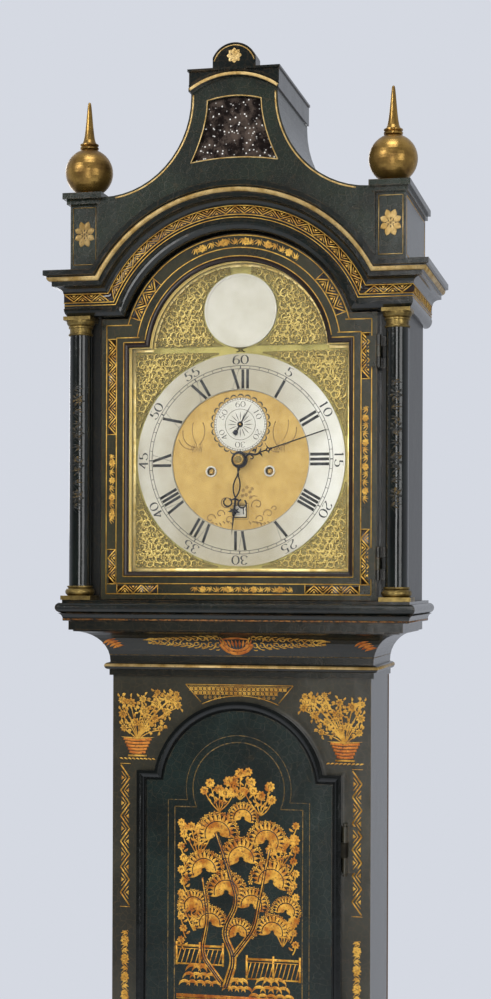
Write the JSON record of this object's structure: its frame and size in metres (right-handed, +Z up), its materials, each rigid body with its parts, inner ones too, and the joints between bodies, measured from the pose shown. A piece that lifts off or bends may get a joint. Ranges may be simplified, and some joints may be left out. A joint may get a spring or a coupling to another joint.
{
  "type": "longcase clock",
  "caption": "Japanned longcase clock with an arched brass dial, sliding hood, hinged hood and trunk doors, weight-driven eight-day movement and swinging pendulum.",
  "frame": {"origin": "on the floor under the middle of the whole clock's width and depth", "axes": "+Z up, -Y out of the dial and the doors, +X to the right of a person who faces the dial"},
  "size_m": [0.508, 0.223, 2.299],
  "materials": {
    "japanned": "black-green japanning, gloss",
    "bare_wood": "old oak, unfinished",
    "gilt_wood": "gilded, worn",
    "glass": "clear old window glass",
    "mirror": "foxed silvered glass",
    "brass": "lacquered",
    "gilt_brass": "cast and gilded",
    "silvered": "silvered",
    "bell_metal": "turned bell metal",
    "blued_steel": "blued",
    "steel": "filed and oiled",
    "gut": "twisted gut"
  },
  "bodies": {
    "case": {"skirting": "japanned", "base_boards": "japanned", "base_moulding": "japanned", "trunk_frame": "japanned", "trunk_sides": "japanned", "backboard": "bare_wood", "throat_moulding": "japanned", "seatboard": "bare_wood", "trunk_frame_hinges": "brass", "dial_plate": "brass", "dial_rings": "silvered", "spandrels": "gilt_brass", "movement_plates": "brass", "plate_pillars": "brass", "bell": "bell_metal", "going_line": "gut", "strike_line": "gut"},
    "trunk_door": {"trunk_door_panel": "japanned", "trunk_door_moulding": "japanned", "trunk_door_hardware": "brass"},
    "hood": {"hood_base_frame": "japanned", "hood_sides": "japanned", "hood_front_boards": "japanned", "hood_cornice": "japanned", "hood_roof": "bare_wood", "side_pedestals": "japanned", "finials": "gilt_brass", "pediment_case": "japanned", "pediment_cresting": "gilt_wood", "mirror_plate": "mirror", "hood_columns": "japanned", "column_mounts": "brass", "hood_frame_hinges": "brass"},
    "hood_door": {"hood_door_frame": "japanned", "hood_door_ovolo": "gilt_wood", "hood_door_glass": "glass", "hood_door_hinges": "brass"},
    "date_ring": {"date_ring": "silvered"},
    "hour": {"hour_hand": "blued_steel", "hour_wheel": "brass"},
    "centre": {"minute_hand": "blued_steel", "centre_wheel": "brass"},
    "minute_wheel": {"minute_wheel": "brass"},
    "escape": {"seconds_hand": "blued_steel", "escape_wheel": "brass"},
    "third": {"third_wheel": "brass"},
    "going_great": {"going_great_wheel": "brass"},
    "going_barrel": {"going_barrel": "brass"},
    "strike_great": {"strike_great_wheel": "brass"},
    "strike_barrel": {"strike_barrel": "brass"},
    "pin": {"pin_wheel": "brass"},
    "gathering": {"gathering_wheel": "brass"},
    "warning": {"warning_wheel": "brass"},
    "fly": {"fly": "brass"},
    "hammer": {"hammer": "steel"},
    "anchor": {"anchor": "steel"},
    "pendulum": {"pendulum_rod": "steel", "pendulum_bob": "brass"},
    "going_weight": {"going_weight": "brass"},
    "strike_weight": {"strike_weight": "brass"}
  },
  "joints": [
    {"name": "hood_slide", "type": "slide", "parent": "case", "child": "hood", "axis": [0, -1, 0], "range_m": [0, 0.3]},
    {"name": "hood_door_hinge", "type": "hinge", "parent": "hood", "child": "hood_door", "pos_m": [0.1865, -0.0785, 1.763], "axis": [0, 0, 1], "range_deg": [0, 95]},
    {"name": "trunk_door_hinge", "type": "hinge", "parent": "case", "child": "trunk_door", "pos_m": [0.1415, -0.056, 0.978], "axis": [0, 0, 1], "range_deg": [0, 110]},
    {"name": "pendulum_swing", "type": "hinge", "parent": "case", "child": "pendulum", "pos_m": [0, 0.0645, 1.8345], "axis": [0, 1, 0], "range_deg": [-3.5, 3.5]},
    {"name": "anchor_rock", "type": "hinge", "parent": "case", "child": "anchor", "pos_m": [0, 0.0165, 1.8345], "axis": [0, 1, 0], "range_deg": [-3.5, 3.5]},
    {"name": "centre_turn", "type": "hinge", "parent": "case", "child": "centre", "pos_m": [0, -0.0035, 1.763], "axis": [0, 1, 0], "continuous": true},
    {"name": "minute_wheel_turn", "type": "hinge", "parent": "case", "child": "minute_wheel", "pos_m": [0, -0.0035, 1.73745], "axis": [0, 1, 0], "continuous": true},
    {"name": "hour_turn", "type": "hinge", "parent": "case", "child": "hour", "pos_m": [0, -0.0035, 1.763], "axis": [0, 1, 0], "continuous": true},
    {"name": "going_great_turn", "type": "hinge", "parent": "case", "child": "going_great", "pos_m": [0.0393, -0.0035, 1.748], "axis": [0, 1, 0], "continuous": true},
    {"name": "third_turn", "type": "hinge", "parent": "case", "child": "third", "pos_m": [0.00496, -0.0035, 1.78801], "axis": [0, 1, 0], "continuous": true},
    {"name": "escape_turn", "type": "hinge", "parent": "case", "child": "escape", "pos_m": [0, -0.0035, 1.8095], "axis": [0, 1, 0], "continuous": true},
    {"name": "date_ring_turn", "type": "hinge", "parent": "case", "child": "date_ring", "pos_m": [0, -0.0035, 1.763], "axis": [0, 1, 0], "continuous": true},
    {"name": "going_winding", "type": "hinge", "parent": "case", "child": "going_barrel", "pos_m": [0.0393, -0.0035, 1.748], "axis": [0, 1, 0], "range_deg": [0, 5364]},
    {"name": "going_weight_rise", "type": "slide", "parent": "case", "child": "going_weight", "axis": [0, 0, 1], "range_m": [0, 1.17], "deforming": ["going_line"]},
    {"name": "strike_winding", "type": "hinge", "parent": "case", "child": "strike_barrel", "pos_m": [-0.0393, -0.0035, 1.748], "axis": [0, 1, 0], "range_deg": [0, 5364]},
    {"name": "strike_weight_rise", "type": "slide", "parent": "case", "child": "strike_weight", "axis": [0, 0, 1], "range_m": [0, 1.17], "deforming": ["strike_line"]},
    {"name": "gathering_turn", "type": "hinge", "parent": "case", "child": "gathering", "pos_m": [-0.02206, -0.0035, 1.80416], "axis": [0, 1, 0], "continuous": true},
    {"name": "pin_turn", "type": "hinge", "parent": "case", "child": "pin", "pos_m": [-0.038, -0.0035, 1.78238], "axis": [0, 1, 0], "continuous": true},
    {"name": "strike_great_turn", "type": "hinge", "parent": "case", "child": "strike_great", "pos_m": [-0.0393, -0.0035, 1.748], "axis": [0, 1, 0], "continuous": true},
    {"name": "warning_turn", "type": "hinge", "parent": "case", "child": "warning", "pos_m": [-0.03795, -0.0035, 1.81995], "axis": [0, 1, 0], "continuous": true},
    {"name": "fly_turn", "type": "hinge", "parent": "case", "child": "fly", "pos_m": [-0.02396, -0.0035, 1.83224], "axis": [0, 1, 0], "continuous": true},
    {"name": "hammer_lift", "type": "hinge", "parent": "case", "child": "hammer", "pos_m": [-0.056, -0.0035, 1.807], "axis": [0, 1, 0], "range_deg": [-10, 0], "stiffness_Nm_per_rad": 0.08, "springref_deg": 8.59}
  ],
  "couplings": [
    {"joint": "anchor_rock", "follows": "pendulum_swing", "ratio": 1},
    {"joint": "minute_wheel_turn", "follows": "centre_turn", "ratio": -1},
    {"joint": "hour_turn", "follows": "centre_turn", "ratio": 0.083333},
    {"joint": "going_great_turn", "follows": "centre_turn", "ratio": -0.083333},
    {"joint": "third_turn", "follows": "centre_turn", "ratio": -7.5},
    {"joint": "escape_turn", "follows": "centre_turn", "ratio": 60},
    {"joint": "going_winding", "follows": "going_weight_rise", "rad_per_m": 80},
    {"joint": "strike_winding", "follows": "strike_weight_rise", "rad_per_m": 80},
    {"joint": "pin_turn", "follows": "gathering_turn", "ratio": -0.125},
    {"joint": "strike_great_turn", "follows": "gathering_turn", "ratio": 0.012821},
    {"joint": "warning_turn", "follows": "gathering_turn", "ratio": -7},
    {"joint": "fly_turn", "follows": "gathering_turn", "ratio": 50}
  ]
}
